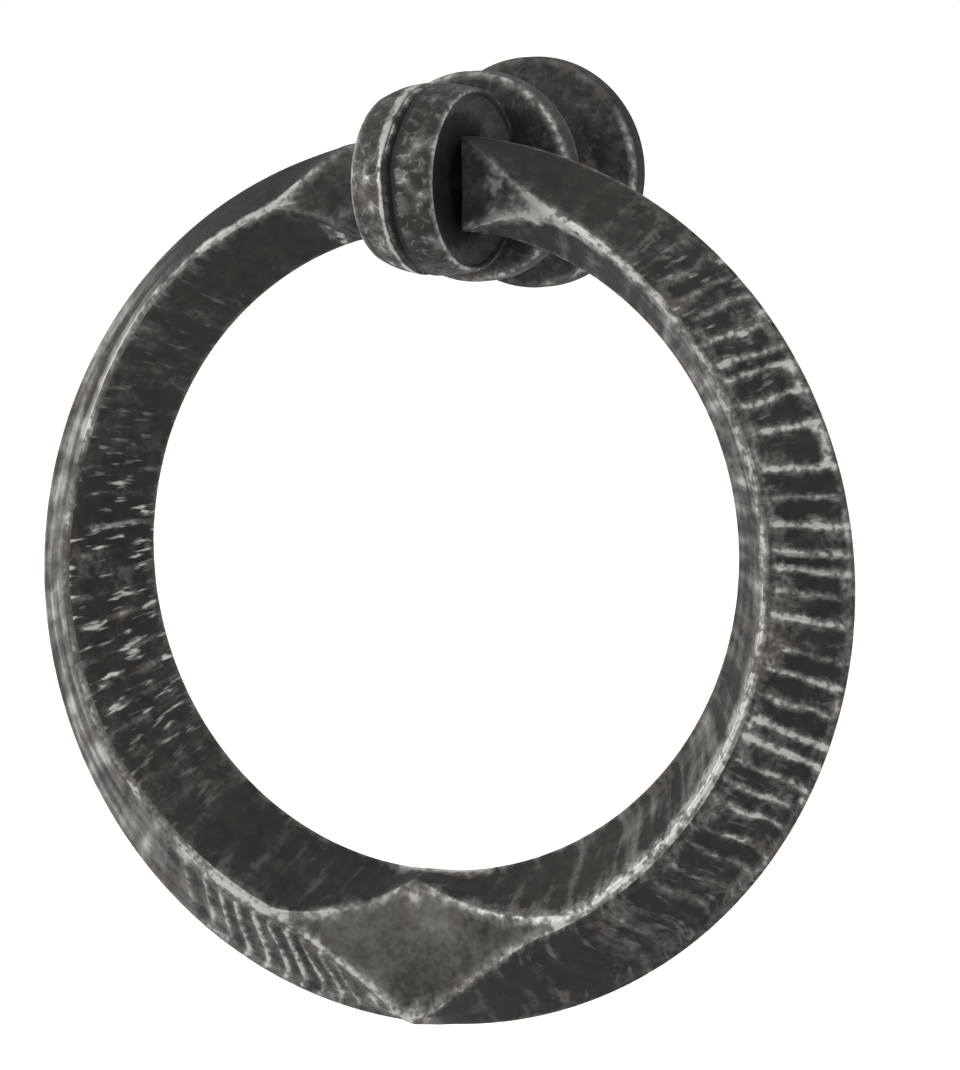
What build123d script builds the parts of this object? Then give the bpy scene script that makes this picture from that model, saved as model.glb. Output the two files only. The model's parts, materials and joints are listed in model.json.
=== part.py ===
from build123d import *
from math import asin, cos, degrees, exp, hypot, pi, radians, sin
import os
import random

# Rustic forged iron ring pull for a cabinet door: a cast knob post with a ring hung through its head.
# Millimetres. The origin is the centre of the foot's back face, which lies on the door.
# +Z is up, the door is the plane y = 0 and the pull stands out towards -Y.

# Knob post: a foot disc on the door, a neck, a collar and the barrel-shaped head
foot_radius = 9.2
foot_thickness = 1.9
neck_length = 8.8
neck_radius = 5.0
collar_radius = 8.3
collar_thickness = 2.6
shaft_edge_bevel = 0.4
neck_root_bevel = 0.8

# Blind hole for the M4 screw that comes through the door, at its tapping drill's size
screw_hole_radius = 1.65
screw_hole_depth = 10.0
drill_point_height = 0.95

# Head: a barrel lying across the post, longer from front to back than it is tall and wider at its right
head_half_length = 3.6
head_bulge_height = 0.45
head_oval = 1.18
head_forward_of_pivot = 1.7
left_rim_wall = 0.45
right_rim_wall = 0.38
right_mouth_extra = 0.72
head_rim_bevel = 0.22
widest_bevel_share = 0.4
head_floor_half_gap = 1.5
head_floor_share = 0.5
head_dish_knee_share = 0.4
head_dish_knee_radius_share = 0.92
head_groove_width = 0.8
head_groove_depth = 0.5
head_groove_off_middle = 0.0

# Ring: a bar forged square and bent on edge, open at the top where its ends enter the head
ring_outer_radius = 35.0
bar_height_above_pivot = 3.5
bar_height_below_pivot = 4.0
bar_bottom_width = 12.35
bar_sides_depth = 10.4
bar_bottom_depth = 6.8
bar_end_depth = 5.6
bar_end_half_gap = 2.9
ring_collar_clearance = 0.57
ring_mouth_clearance = 1.15

# Round tenons at the ring's ends, which turn in the cross bore of the head
tenon_radius = 2.0
tenon_running_clearance = 0.05
tenon_tip_half_gap = 0.15
tenon_root_depth = 0.8

# Front and back arrises, as shares of the way from the inner to the outer arris.
# A shift holds about a place on the ring: amount, middle and spread, in degrees from the bottom.
arris_share = 0.5
arris_shifts = [(0.1, -158, 36), (-0.045, 88, 62), (0.045, -76, 22)]
worn_arris_share = 0.06
widest_flat_share = 0.94

# Flats hammered on those arrises, as lengths along the bar: one at the bottom and one at each cut end
bottom_flat_peak_offset = -0.9
bottom_flat_left_reach = 13.4
bottom_flat_right_reach = 16.7
end_flat_length = 10.4
left_end_full_flat_length = 3.4
right_end_full_flat_length = 0.0
end_taper_length = 17.0

# How the flats' edges run out: 1 is straight, more is hollow
bottom_flat_inner_share = 0.92
bottom_inner_hollow = 1.3
bottom_left_outer_hollow = 2.0
bottom_right_outer_hollow = 2.6
left_end_hollow = 1.2
right_end_inner_hollow = 1.4
right_end_outer_hollow = 2.2

# Hammer blows across the bar, light everywhere and hard about some places on the ring. Standing ridges are
# where two of them meet, and the other blows fall between those at the usual pitch. A dent is deepest near
# the front arris. Angles are in degrees from the ring's bottom, positive towards +X, and a hard stretch
# has its strength, middle and spread.
blow_pitch = 2.2
blow_pitch_scatter = 0.22
standing_ridges_right = [
    42, 45.5, 49.6, 53, 57.2, 60.2, 63.4, 66.9, 69.8, 73.5, 77.6, 81, 85.4, 89.1, 92.4, 94.8, 98.6,
    102.6, 106.6, 112.2, 116.8, 121, 123.2, 127, 131.2, 134.6, 138, 142,
]
standing_ridges_left = [
    -12.4, -15, -17.9, -20.6, -23.4, -26.4, -29.6, -32.8, -36, -40, -44.5, -49, -53.5, -58,
    -62.4, -66.2, -70, -74.2, -79.8, -84, -90.4, -94.8, -100.2, -104.4, -108.4,
]
dent_depth = 0.42
shallowest_dent_share = 0.4
deepest_dent_share = 1.2
edge_dent_share = 0.7
arris_dent_depth = 0.07
light_blow = 0.15
hard_blows_inner_face = [(0.85, -88, 32), (0.35, 50, 25)]
hard_blows_outer_face = [(0.85, 88, 50), (0.6, -32, 20)]
stretch_evenness = 4
hammer_seed = 7

# Places that follow from the sizes above
bar_top_width = bar_height_above_pivot + bar_height_below_pivot
ring_inner_radius = (2 * ring_outer_radius - bar_top_width - bar_bottom_width) / 2
outer_centre_z = bar_height_above_pivot - ring_outer_radius
inner_centre_z = -bar_height_below_pivot - ring_inner_radius

collar_back = foot_thickness + neck_length
collar_front = collar_back + collar_thickness
bar_end_reach = hypot(max(bar_height_above_pivot, bar_height_below_pivot), bar_end_depth / 2)
pivot_forward = collar_front + bar_end_reach + ring_collar_clearance
head_forward = pivot_forward + head_forward_of_pivot

left_mouth_radius = bar_end_reach + ring_mouth_clearance
right_mouth_radius = left_mouth_radius + right_mouth_extra
left_rim_radius = left_mouth_radius + left_rim_wall
right_rim_radius = right_mouth_radius + right_rim_wall
head_radius = max(left_rim_radius, right_rim_radius) + head_bulge_height
tenon_bore_radius = tenon_radius + tenon_running_clearance


def smooth_step(share):
    """0 below 0, 1 above 1, with an even curve between."""
    share = max(0.0, min(1.0, share))
    return share * share * (3 - 2 * share)


def bevelled(face, corner, bevel):
    """The same flat face with one of its corners bevelled, as wear and the file leave it."""
    vertex = face.vertices().sort_by_distance(Vector(*corner))[0]
    return chamfer(vertex, bevel)


def make_shaft():
    """Foot disc, neck and collar, turned about the Y axis."""
    foot_front = -foot_thickness
    back = -collar_back
    front = -collar_front
    thinnest = min(foot_thickness, collar_thickness)
    edge_bevel = min(shaft_edge_bevel, widest_bevel_share * thinnest)
    outline = [
        (0, 0),
        (foot_radius, 0),
        (foot_radius, foot_front),
        (neck_radius, foot_front),
        (neck_radius, back),
        (collar_radius, back),
        (collar_radius, front),
        (0, front),
    ]
    face = make_face(Polyline(*outline, close=True))
    for corner in ((neck_radius, foot_front), (neck_radius, back)):
        face = bevelled(face, corner, neck_root_bevel)
    for corner in ((foot_radius, foot_front), (collar_radius, back), (collar_radius, front)):
        face = bevelled(face, corner, edge_bevel)
    return revolve(face, Axis.Y)


def mouth_outline(side, mouth_radius, rim_radius):
    """Points of a dished mouth from the head's own axis to its rim, at the right (1) or the left (-1)."""
    floor = head_floor_half_gap
    knee = floor + head_dish_knee_share * (head_half_length - floor)
    return [
        (0, 0),
        (side * floor, 0),
        (side * floor, head_floor_share * mouth_radius),
        (side * knee, head_dish_knee_radius_share * mouth_radius),
        (side * head_half_length, mouth_radius),
        (side * head_half_length, rim_radius),
    ]


def make_head():
    """Barrel across the post, with a chiselled groove round it, on the X axis before it is placed."""
    right_mouth = mouth_outline(1, right_mouth_radius, right_rim_radius)
    left_mouth = mouth_outline(-1, left_mouth_radius, left_rim_radius)
    barrel = ThreePointArc(right_mouth[-1], (0, head_radius), left_mouth[-1])
    face = make_face([*Polyline(*right_mouth).edges(), barrel, *Polyline(*left_mouth).edges()])
    rim_bevel = min(head_rim_bevel, widest_bevel_share * min(left_rim_wall, right_rim_wall))
    for corner in (right_mouth[-1], right_mouth[-2], left_mouth[-1], left_mouth[-2]):
        face = bevelled(face, corner, rim_bevel)
    groove_left = head_groove_off_middle - head_groove_width / 2
    groove_right = head_groove_off_middle + head_groove_width / 2
    groove_floor = head_radius - head_groove_depth
    groove_knee = head_radius - head_groove_depth / 2
    beyond = head_radius + head_groove_depth
    groove_outline = [
        (groove_left, beyond),
        (groove_left, groove_knee),
        (head_groove_off_middle, groove_floor),
        (groove_right, groove_knee),
        (groove_right, beyond),
    ]
    groove = make_face(Polyline(*groove_outline, close=True))
    return scale(revolve(face - groove, Axis.X), by=(1, head_oval, 1))


def make_knob_post():
    """The casting: shaft and head in one, bored across for the tenons and from behind for the screw."""
    head = Pos(0, -head_forward, 0) * make_head()
    bore_length = 2 * head_half_length
    cross_bore = Pos(0, -pivot_forward, 0) * Rot(0, 90, 0) * Cylinder(tenon_bore_radius, bore_length)
    hole_middle = Pos(0, -screw_hole_depth / 2, 0)
    screw_hole = hole_middle * Rot(90, 0, 0) * Cylinder(screw_hole_radius, screw_hole_depth)
    point_middle = Pos(0, -screw_hole_depth - drill_point_height / 2, 0)
    drill_point = point_middle * Rot(90, 0, 0) * Cone(screw_hole_radius, 0, drill_point_height)
    return make_shaft() + head - cross_bore - screw_hole - drill_point


outer_end_angle = pi - asin(bar_end_half_gap / ring_outer_radius)
inner_end_angle = pi - asin(bar_end_half_gap / ring_inner_radius)
bar_half_length = (ring_outer_radius + ring_inner_radius) / 2 * (outer_end_angle + inner_end_angle) / 2


def arris_point(radius, centre_z, angle):
    """Point of the ring's outer or inner circle at an angle from the bottom, positive towards +X."""
    return Vector(radius * sin(angle), -pivot_forward, centre_z - radius * cos(angle))


def bottom_flat(along):
    """1 at the peak of the bottom flat, 0 where it ends on the left and on the right."""
    reach = bottom_flat_left_reach if along < bottom_flat_peak_offset else bottom_flat_right_reach
    return max(0.0, 1 - abs(along - bottom_flat_peak_offset) / reach)


def end_flat(along):
    """1 where the flat at a cut end is as wide as the bar, 0 where it starts."""
    full = left_end_full_flat_length if along < 0 else right_end_full_flat_length
    from_end = bar_half_length - abs(along)
    return max(0.0, min(1.0, (end_flat_length - from_end) / (end_flat_length - full)))


def flat_shares(along):
    """How far the front flat reaches towards the inner and the outer arris, from 0 to 1."""
    bottom = bottom_flat(along)
    end = end_flat(along)
    on_left = along < 0
    inner_end = end ** (left_end_hollow if on_left else right_end_inner_hollow)
    outer_end = end ** (left_end_hollow if on_left else right_end_outer_hollow)
    inner_bottom = bottom_flat_inner_share * bottom**bottom_inner_hollow
    outer_bottom = bottom ** (bottom_left_outer_hollow if on_left else bottom_right_outer_hollow)
    inner = max(inner_bottom, inner_end)
    outer = max(outer_bottom, outer_end)
    return [min(widest_flat_share, max(worn_arris_share, share)) for share in (inner, outer)]


def half_depth(along):
    """Half the bar's depth from front to back, thinner at the hammered bottom and at the ends."""
    from_end = bar_half_length - abs(along)
    depth = bar_end_depth + (bar_sides_depth - bar_end_depth) * smooth_step(from_end / end_taper_length)
    depth += (bar_bottom_depth - bar_sides_depth) * smooth_step(bottom_flat(along))
    return depth / 2


def angle_from_bottom(along):
    """Angle in degrees from the ring's bottom to a place along the bar, positive towards +X."""
    return degrees(along / bar_half_length * outer_end_angle)


def sum_of_stretches(stretches, along):
    """Sum at one place of amounts that each hold about their own middle and fade past their spread."""
    angle = angle_from_bottom(along)
    total = 0.0
    for amount, middle, spread in stretches:
        total += amount * exp(-(((angle - middle) / spread) ** stretch_evenness))
    return total


def bar_section(along, dents, arris_dent):
    """Corners of the bar's section at one place along it, from the inner arris over the front."""
    turn = along / bar_half_length
    outer = arris_point(ring_outer_radius - arris_dent, outer_centre_z, turn * outer_end_angle)
    inner = arris_point(ring_inner_radius, inner_centre_z, turn * inner_end_angle)
    inner_share, outer_share = flat_shares(along)
    depth = half_depth(along)
    middle = arris_share + sum_of_stretches(arris_shifts, along)
    flat_inner = middle * (1 - inner_share)
    flat_outer = middle + (1 - middle) * outer_share
    inner_dent, outer_dent = dents
    across = [
        (flat_inner / 3, depth / 3 - edge_dent_share * inner_dent),
        (flat_inner * 2 / 3, depth * 2 / 3 - inner_dent),
        (flat_inner, depth - arris_dent),
        (flat_outer, depth - arris_dent),
        (1 - (1 - flat_outer) * 2 / 3, depth * 2 / 3 - outer_dent),
        (1 - (1 - flat_outer) / 3, depth / 3 - edge_dent_share * outer_dent),
    ]
    front = []
    back = []
    for share, offset in across:
        place = inner + (outer - inner) * share
        front.append(place + Vector(0, -offset, 0))
        back.append(place + Vector(0, offset, 0))
    return [inner] + front + [outer] + back[::-1]


def ridge_places(chance):
    """Places along the bar of the ridges between blows: the standing ones and the others between them."""
    standing = sorted(standing_ridges_left + standing_ridges_right)
    fixed = [radians(angle) / outer_end_angle * bar_half_length for angle in standing]
    fixed = [-bar_half_length] + fixed + [bar_half_length]
    places = []
    for start, end in zip(fixed, fixed[1:]):
        blows = max(1, round((end - start) / blow_pitch))
        pitch = (end - start) / blows
        places.append(start)
        for number in range(1, blows):
            shift = chance.uniform(-blow_pitch_scatter, blow_pitch_scatter)
            places.append(start + (number + shift) * pitch)
    places.append(bar_half_length)
    return places


def hammered_stations():
    """Places along the bar with the dents at each: a ridge between two blows, a dent at each blow."""
    chance = random.Random(hammer_seed)
    places = ridge_places(chance)
    stations = []
    for start, end in zip(places, places[1:]):
        middle = (start + end) / 2
        dents = []
        for hard_blows in (hard_blows_inner_face, hard_blows_outer_face):
            strength = light_blow + sum_of_stretches(hard_blows, middle)
            share = chance.uniform(shallowest_dent_share, deepest_dent_share)
            dents.append(strength * share * dent_depth)
        arris_dent = arris_dent_depth * chance.random()
        stations.append((start, (0.0, 0.0), 0.0))
        stations.append((middle, dents, arris_dent))
    stations.append((bar_half_length, (0.0, 0.0), 0.0))
    return stations


def triangle(first, second, third):
    return Face(Wire.make_polygon([first, second, third]))


def make_bar():
    """The forged bar as one closed solid of small flat faces."""
    sections = [bar_section(*station) for station in hammered_stations()]
    faces = []
    for near, far in zip(sections, sections[1:]):
        for corner in range(len(near)):
            following = (corner + 1) % len(near)
            faces.append(triangle(near[corner], near[following], far[following]))
            faces.append(triangle(near[corner], far[following], far[corner]))
    for cut_end in (sections[0], sections[-1]):
        faces.append(Face(Wire.make_polygon(cut_end)))
    return Solid(Shell(faces))


def make_ring():
    """Bar and its two tenons, which are turned on the ends of the same bar."""
    ring = make_bar()
    tenon_length = bar_end_half_gap + tenon_root_depth - tenon_tip_half_gap
    tenon_middle = tenon_tip_half_gap + tenon_length / 2
    for side in (-1, 1):
        place = Pos(side * tenon_middle, -pivot_forward, 0)
        ring = ring + place * Rot(0, 90, 0) * Cylinder(tenon_radius, tenon_length)
    return ring


os.makedirs("parts", exist_ok=True)
knob_post = make_knob_post()
export_step(knob_post, "parts/knob_post.step")
ring = make_ring()
export_step(ring, "parts/ring.step")
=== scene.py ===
import json
import math
import random

import bmesh
import bpy
from bpy.props import FloatProperty, FloatVectorProperty, IntProperty, PointerProperty
from mathutils import Matrix, Vector, noise


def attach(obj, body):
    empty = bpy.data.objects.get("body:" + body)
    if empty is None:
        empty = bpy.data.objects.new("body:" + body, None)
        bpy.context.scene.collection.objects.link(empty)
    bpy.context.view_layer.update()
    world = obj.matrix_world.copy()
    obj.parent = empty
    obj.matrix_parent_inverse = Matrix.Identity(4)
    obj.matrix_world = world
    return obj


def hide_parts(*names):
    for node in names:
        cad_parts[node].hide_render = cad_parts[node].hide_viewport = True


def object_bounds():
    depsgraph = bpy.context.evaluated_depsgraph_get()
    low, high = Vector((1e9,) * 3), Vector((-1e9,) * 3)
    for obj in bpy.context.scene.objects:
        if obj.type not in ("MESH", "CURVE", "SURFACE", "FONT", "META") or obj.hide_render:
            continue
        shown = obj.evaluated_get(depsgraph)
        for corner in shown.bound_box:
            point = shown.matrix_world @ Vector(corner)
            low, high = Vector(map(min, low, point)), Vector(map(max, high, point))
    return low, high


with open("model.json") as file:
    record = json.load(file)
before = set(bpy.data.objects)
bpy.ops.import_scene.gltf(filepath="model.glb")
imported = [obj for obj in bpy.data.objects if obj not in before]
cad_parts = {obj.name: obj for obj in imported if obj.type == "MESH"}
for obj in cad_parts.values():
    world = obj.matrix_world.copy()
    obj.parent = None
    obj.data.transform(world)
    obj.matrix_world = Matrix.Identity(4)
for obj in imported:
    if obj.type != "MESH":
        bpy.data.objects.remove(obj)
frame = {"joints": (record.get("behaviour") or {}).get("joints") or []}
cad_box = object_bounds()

bl_info = {
    "name": "Hammered ring pull",
    "version": (1, 0, 0),
    "blender": (4, 5, 0),
    "location": "3D View > Sidebar > Ring pull",
    "description": "A forged iron ring pull for a cabinet door, with its knob post and its studio",
    "category": "Add Mesh",
}

MM = 0.001

# Places on the ring are angles in degrees from its bottom, positive towards +X.
# Ridges between hammer blows that stand out, each with its place and how worn it is
RIDGES = (
    (142.0, 0.6), (138.0, 0.5), (134.6, 0.55), (131.2, 0.65), (127.0, 0.75), (123.2, 0.8), (121.0, 0.8),
    (116.8, 0.8), (112.2, 0.95), (106.6, 0.85), (102.6, 0.4), (98.6, 0.8), (94.8, 0.95), (92.4, 1.0),
    (89.1, 0.55), (85.4, 1.0), (81.0, 0.45), (77.6, 0.75), (73.5, 0.65), (69.8, 1.2), (66.9, 1.2),
    (63.4, 0.75), (60.2, 0.65), (57.2, 0.8), (53.0, 0.6), (49.6, 0.5), (45.5, 0.3), (42.0, 0.3),
    (-12.4, 0.6), (-15.0, 0.9), (-17.9, 0.9), (-20.6, 1.0), (-23.4, 0.9), (-26.4, 0.9), (-29.6, 1.0),
    (-32.8, 0.9), (-36.0, 0.8), (-40.0, 0.5), (-44.5, 0.4), (-49.0, 0.3), (-53.5, 0.3), (-58.0, 0.35),
    (-62.4, 0.75), (-66.2, 0.7), (-70.0, 0.7), (-74.2, 0.8), (-79.8, 0.9), (-84.0, 0.75), (-90.4, 0.8),
    (-94.8, 1.0), (-100.2, 0.4), (-104.4, 0.75), (-108.4, 0.3),
)
END_RIDGE_WEAR = 0.3
OTHER_RIDGE_WEAR = (0.2, 0.6)  # least and most wear of the ridges between the listed ones
PITCH_CHANCE = 0.22  # how far chance moves them, as a share of their pitch

# Stretches of the bar's two faces where something holds, each with its amount, middle and spread.
# The slant of the blows is in millimetres of lean over the width of the face.
FACE_STRETCHES = {
    "inner": {
        "hard blows": ((0.85, -88, 32), (0.35, 50, 25)),
        "slant": ((-2.6, 22, 52),),
        "worn ridges": ((0.55, -84, 27),),
        "worn edge": ((1.4, 1, 11),),
        "pale": ((0.73, 101, 56), (0.4, 46, 16), (0.15, -48, 22)),
        "dark": ((0.6, -12, 36), (0.6, 152, 16)),
        "dashes": ((1.0, -84, 25), (0.3, -55, 12), (0.3, -126, 20)),
        "hatching": ((0.75, 40, 42), (1.0, 124, 40), (0.45, -28, 25), (0.4, -135, 28)),
    },
    "outer": {
        "hard blows": ((0.85, 88, 50), (0.6, -26, 20)),
        "slant": ((-2.6, -24, 20), (-2.4, 38, 24)),
        "worn ridges": ((1.2, 92, 52), (0.88, -26, 17), (0.12, 27, 20)),
        "worn edge": (),
        "pale": ((1.35, -84, 52), (0.35, -124, 11), (0.5, -9, 9)),
        "dark": ((1.5, -153, 18), (0.6, 28, 22)),
        "dashes": ((0.3, 34, 26), (0.45, 132, 14), (0.25, 92, 45)),
        "hatching": ((0.5, 24, 26), (0.75, -86, 48), (0.35, 138, 14)),
    },
}
# Stretches of the front and back arris: how worn it is, how wide its bright line is, where its wear and a
# painted highlight are kept to the side facing the left key lamp, with painted shade on the other side (the
# lit side is the inner one to the right, the outer one to the left), and its shift as a share of the width
ARRIS_STRETCHES = {
    "worn": (
        (0.7, 155, 20), (-0.25, 106, 32), (0.3, 50, 16), (0.2, 0, 22), (-0.4, -53, 13), (0.25, -32, 8),
        (-0.5, -86, 24), (-0.5, -125, 20), (0.4, -153, 12),
    ),
    "wide": ((0.5, -42, 20), (0.45, 158, 12), (0.6, -126, 22)),
    "lit side only": ((1.0, 88, 76), (1.0, -73, 63)),
    "shift": ((0.1, -158, 36), (-0.045, 88, 62), (0.045, -76, 22)),
}

# Worn spots by the cut ends: side of the ring, length from the end, share across the bar, reach and amount
END_SPOTS = (
    (1, 2.9, 0.56, 1.3, 1.45), (1, 3.1, 0.32, 0.9, 1.1), (1, 0.9, 0.05, 1.1, 1.4), (1, 5.0, 0.48, 1.2, 1.35),
    (1, 6.9, 0.42, 1.4, 1.3), (-1, 6.5, 0.14, 1.5, 1.2), (-1, 4.4, 0.3, 0.9, 0.5),
)
# Worn spots on the bottom flat: length from the ring's bottom, share across the bar, reach and amount
BOTTOM_SPOTS = (
    (-0.6, 0.92, 1.5, 1.0), (-2.6, 0.92, 1.6, 0.95), (-4.6, 0.87, 1.2, 0.8), (-1.2, 0.17, 1.2, 0.6),
)
BOTTOM_SPOTS_WITHIN = 8 * MM  # length from the ring's bottom past which none of them reaches

# What each vertex carries for the materials: rubbed bright (with some painted highlights), paler (partly
# painted light), darker in hammer dents and other darker places and in painted shade, dashed or veined,
# hatched
MARKS = ("wear", "pale", "dent", "dash", "hatch")
CUT_END_SHADE = 3.0  # painted shade on the cut ends and the tenons, which sit deep in the head's mouths and which nothing rubs bright

# Places of the vertices across one face of the bar, from its inner or outer edge to the arris
FACE_STEPS = (0, 0.03, 0.08, 0.15, 0.24, 0.34, 0.45, 0.56, 0.67, 0.77, 0.86, 0.93, 0.97, 1)
# Places of the vertices across the flat, from its inner to its outer side
FLAT_STEPS = (0.05, 0.12, 0.2, 0.3, 0.4, 0.5, 0.6, 0.7, 0.8, 0.88, 0.95)
# Places of the stations along the bar from one ridge to the next
BLOW_STEPS = (0, 0.05, 0.13, 0.25, 0.4, 0.6, 0.75, 0.87, 0.95)
FACES = ("inner", "outer")
# Width of one face and of one flat on the bar's own map, in millimetres
MAP_FACE = 6
MAP_FLAT = 1
MAP_SCALE = 0.01  # map units to a millimetre

# Finer shapes of the bar
BLOWS_FADE = 3 * MM  # the blows fade out over this length before a cut end
RIDGE_STRAY = 0.28 * MM  # how far chance moves a ridge along the bar
ARRIS_LOSS = 0.07 * MM  # least metal that is worn off the arris
ARRIS_NICKS = 0.08 * MM  # most that nicks take off it besides
EDGE_ROUNDING = 0.11 * MM
TENON_CHAMFER = 0.2 * MM
TENON_TIP = 0.9  # radius of a tenon's tip as a share of the tenon's

# Finer shapes of the post
PROFILE_CELL = 0.4 * MM  # longest stretch between two rows of a turned shape
SHAFT_STEPS = 144
HEAD_STEPS = 160
BORE_STEPS = 64
DRILL_POINT = 0.95 * MM  # depth of the cone at the screw hole's bottom
COUNTERSINK = 0.45 * MM
THREAD_ROWS = 6  # rows of vertices to one turn of the thread
CASTING_UNEVEN = 0.06 * MM
GROOVE_STRAY = 0.22 * MM
DISH_FLOOR = 0.5  # radius of a mouth's floor as a share of the mouth's
DISH_KNEE = 0.92  # radius at the knee of a mouth's wall as a share of the mouth's
KNEE_PLACE = 0.4  # place of that knee between the floor and the rim
SHARP_ANGLE = 50  # edges that turn by more degrees than this look sharp

# Kinds of noise, each with its scale in millimetres and a seed of its own
NOISES = {
    "stray, outer": (2.0, 3.0),
    "stray, inner": (2.0, 9.0),
    "nicks": (1.8, 5.0),
    "shine": (2.4, 2.0),
    "ragged": (0.9, 27.0),
    "blotch": (1.4, 21.0),
    "speckle": (0.6, 33.0),
    "hollow flat": (3.0, 7.0),
    "shade of a flat": (3.2, 52.0),
    "uneven blow": (1.5, 1.0),
    "broken ridge, outer": (1.0, 11.0),
    "broken ridge, inner": (1.1, 31.0),
    "scattered wear": (2.6, 41.0),
    "uneven casting": (2.4, 15.0),
    "groove": (2.8, 13.0),
    "cast blotch": (1.2, 4.0),
    "highlight line": (2.0, 8.0),
}

# Studio lamps, each with its name, place, width and power, in metres and watts
LAMPS = (
    ("left key lamp", (-0.75, -0.55, 0.25), 0.5, 4.1),
    ("right fill lamp", (0.7, -0.7, 0.35), 0.6, 2.0),
    ("top lamp", (0.1, -0.1, 0.9), 0.6, 1.0),
)
LAMPS_AIM = (0, -0.017, -0.03)
FLOOR_BELOW = 0.045  # metres from the part's lowest point down to the floor
FLOOR_HALF_WIDTH = 6.0
# The camera, fitted to the photograph's outlines
CAMERA_AZIMUTH = 24.26  # degrees from the front, towards +X
CAMERA_ELEVATION = 3.84  # degrees up
CAMERA_TARGET = (2.6, -17.4, -27.92)  # in millimetres
CAMERA_DISTANCE = 0.8  # in metres
FOCAL_PIXELS = 10212.81  # focal length in pixels of an image as wide as the photograph
IMAGE_WIDTH = 960
SENSOR_WIDTH = 36.0  # in millimetres


def length(name, description, millimetres):
    """A length that a user can change, given in millimetres and kept in metres."""
    return FloatProperty(
        name=name, description=description, default=millimetres * MM, unit="LENGTH", precision=5,
    )


def share(name, description, value):
    """A share that a user can change."""
    return FloatProperty(name=name, description=description, default=value, min=0.0, max=2.0)


def colour(name, description, value):
    """A colour that a user can change."""
    return FloatVectorProperty(
        name=name, description=description, default=value, subtype="COLOR", min=0, max=1,
    )


class RingPullRing(bpy.types.PropertyGroup):
    """Sizes of the ring, a bar forged square and bent on edge."""

    outer_radius: length("Outer radius", "Radius of the ring's outer edge", 35.0)
    above_pivot: length("Above pivot", "Height of the bar's end above the pivot", 3.5)
    below_pivot: length("Below pivot", "Height of the bar's end below the pivot", 4.0)
    bottom_width: length("Bottom width", "Width of the bar at the ring's bottom", 12.35)
    sides_depth: length("Side depth", "Depth of the bar from front to back at the sides", 10.4)
    bottom_depth: length("Bottom depth", "Depth of the bar where its bottom is hammered flat", 6.8)
    end_depth: length("End depth", "Depth of the bar at its cut ends", 5.6)
    end_half_gap: length("Half end gap", "Half the gap between the two cut ends", 2.9)
    end_taper: length("End taper", "Length over which the bar thins towards an end", 17.0)
    tenon_radius: length("Tenon radius", "Radius of the round tenons that turn in the head", 2.0)
    tenon_half_gap: length("Half tenon gap", "Half the gap between the tenons' tips", 0.15)
    bottom_flat_left: length("Bottom flat, left", "Reach of the bottom flat to the left", 13.4)
    bottom_flat_right: length("Bottom flat, right", "Reach of the bottom flat to the right", 16.7)
    end_flat: length("End flat", "Length of the flat at each cut end", 10.4)
    blow_pitch: length("Blow pitch", "Usual distance between two hammer blows", 2.2)
    dent_depth: length("Dent depth", "Depth of a hard hammer blow", 0.42)
    hammer_seed: IntProperty(name="Hammer seed", description="Changes the chance in the hammering", default=7)


class RingPullPost(bpy.types.PropertyGroup):
    """Sizes of the knob post, one casting."""

    foot_radius: length("Foot radius", "Radius of the disc that lies on the door", 9.2)
    foot_thickness: length("Foot thickness", "Thickness of that disc", 1.9)
    neck_length: length("Neck length", "Length of the neck between foot and collar", 8.8)
    neck_radius: length("Neck radius", "Radius of the neck", 5.0)
    neck_root: length("Neck root", "Radius of the neck's roots at the foot and the collar", 0.8)
    collar_radius: length("Collar radius", "Radius of the collar behind the head", 8.3)
    collar_thickness: length("Collar thickness", "Thickness of the collar", 2.6)
    edge_round: length("Edge rounding", "Rounding of the foot's and the collar's edges", 0.4)
    head_half_length: length("Half head length", "Half the length of the barrel-shaped head", 3.6)
    head_bulge: length("Head bulge", "Height of the barrel's middle over its larger rim", 0.45)
    head_oval: share("Head oval", "Depth of the head from front to back over its height", 1.18)
    head_forward: length("Head forward", "Distance of the head's middle in front of the pivot", 1.7)
    left_mouth: length("Left mouth radius", "Radius of the left mouth at its rim", 6.033)
    right_mouth: length("Right mouth radius", "Radius of the right mouth at its rim", 6.753)
    left_wall: length("Left rim wall", "Width of the left mouth's rim", 0.45)
    right_wall: length("Right rim wall", "Width of the right mouth's rim", 0.38)
    floor_half_gap: length("Half floor gap", "Half the thickness between the two mouths' floors", 1.5)
    groove_width: length("Groove width", "Width of the groove round the head", 0.8)
    groove_depth: length("Groove depth", "Depth of the groove round the head", 0.5)
    bore_radius: length("Bore radius", "Radius of the cross bore for the tenons", 2.05)
    hole_radius: length("Screw hole radius", "Radius of the screw hole at its tapping drill's size", 1.65)
    hole_depth: length("Screw hole depth", "Depth of the screw hole", 10.0)
    thread_pitch: length("Thread pitch", "Pitch of the screw thread", 0.7)
    thread_depth: length("Thread depth", "Depth of the thread's turns in the hole's wall", 0.3)


class RingPullFinish(bpy.types.PropertyGroup):
    """Colours of the waxed iron and of the studio."""

    dark: colour("Dark iron", "Waxed iron in the dents", (0.033, 0.032, 0.028))
    middle: colour("Middle iron", "Waxed iron on the raised places", (0.14, 0.135, 0.125))
    bright: colour("Worn iron", "Bare iron on worn ridges and edges", (0.42, 0.41, 0.385))
    brown: colour("Brown iron", "Faint old rust under the wax", (0.105, 0.083, 0.073))
    floor: colour("Floor", "Studio floor", (0.85, 0.85, 0.85))


def smooth_step(value):
    """0 up to 0, 1 from 1 on, and a smooth rise between them."""
    value = max(0.0, min(1.0, value))
    return value * value * (3 - 2 * value)


def rise(value, start, reach):
    """0 up to a start, 1 from a reach beyond it on, and a smooth rise between them."""
    return smooth_step((value - start) / reach)


def near(distance, reach):
    """1 at a line and 0 at its reach and beyond."""
    return smooth_step(1 - distance / reach)


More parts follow.
